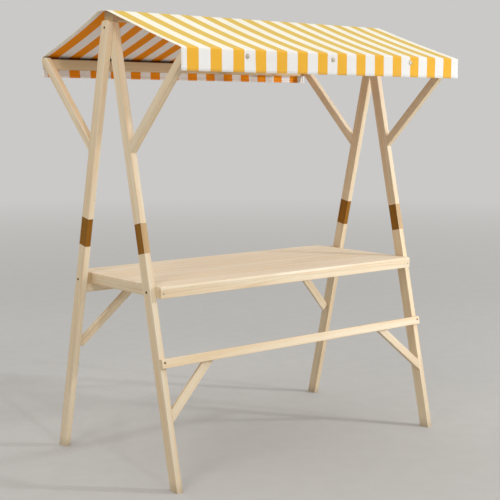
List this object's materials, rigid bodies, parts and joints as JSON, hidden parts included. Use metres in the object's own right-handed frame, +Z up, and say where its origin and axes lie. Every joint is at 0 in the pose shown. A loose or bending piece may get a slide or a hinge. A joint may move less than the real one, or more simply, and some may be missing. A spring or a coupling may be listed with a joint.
{
  "type": "wooden market stall",
  "caption": "Wooden market stall: braced A-frames carry a board counter and a gable canopy of striped cloth with a valance along each eave.",
  "frame": {"origin": "on the floor, midway between the four feet, below the ridge of the canopy", "axes": "+X along the counter, +Y to the rear of the stall, +Z up"},
  "size_m": [1.757, 1.172, 2.142],
  "materials": {
    "pine": "planed, satin varnish",
    "splice_wood": "dark stained",
    "counter_board": "planed, satin varnish",
    "striped_cloth": "woven, yellow and white stripes"
  },
  "bodies": {
    "root": {"canopy_front_slope": "striped_cloth", "canopy_rear_slope": "striped_cloth", "canopy_ridge": "striped_cloth", "front_apron": "pine", "front_eave_beam": "pine", "front_left_lower_leg": "pine", "front_left_splice_core": "splice_wood", "front_left_splice_cover": "pine", "front_left_upper_brace": "pine", "front_left_upper_leg": "pine", "front_right_lower_leg": "pine", "front_right_splice_core": "splice_wood", "front_right_splice_cover": "pine", "front_right_upper_brace": "pine", "front_right_upper_leg": "pine", "front_valance": "striped_cloth", "left_end_rail": "pine", "left_spacer_block": "pine", "lower_front_left_brace": "pine", "lower_front_rail": "pine", "lower_front_right_brace": "pine", "rear_apron": "pine", "rear_cross_rail": "pine", "rear_eave_beam": "pine", "rear_left_brace": "pine", "rear_left_lower_leg": "pine", "rear_left_splice_core": "splice_wood", "rear_left_splice_cover": "pine", "rear_left_upper_brace": "pine", "rear_left_upper_leg": "pine", "rear_right_brace": "pine", "rear_right_lower_leg": "pine", "rear_right_splice_core": "splice_wood", "rear_right_splice_cover": "pine", "rear_right_upper_brace": "pine", "rear_right_upper_leg": "pine", "rear_valance": "striped_cloth", "ridge_beam": "pine", "right_end_rail": "pine", "right_spacer_block": "pine", "tabletop": "counter_board"}
  },
  "joints": []
}
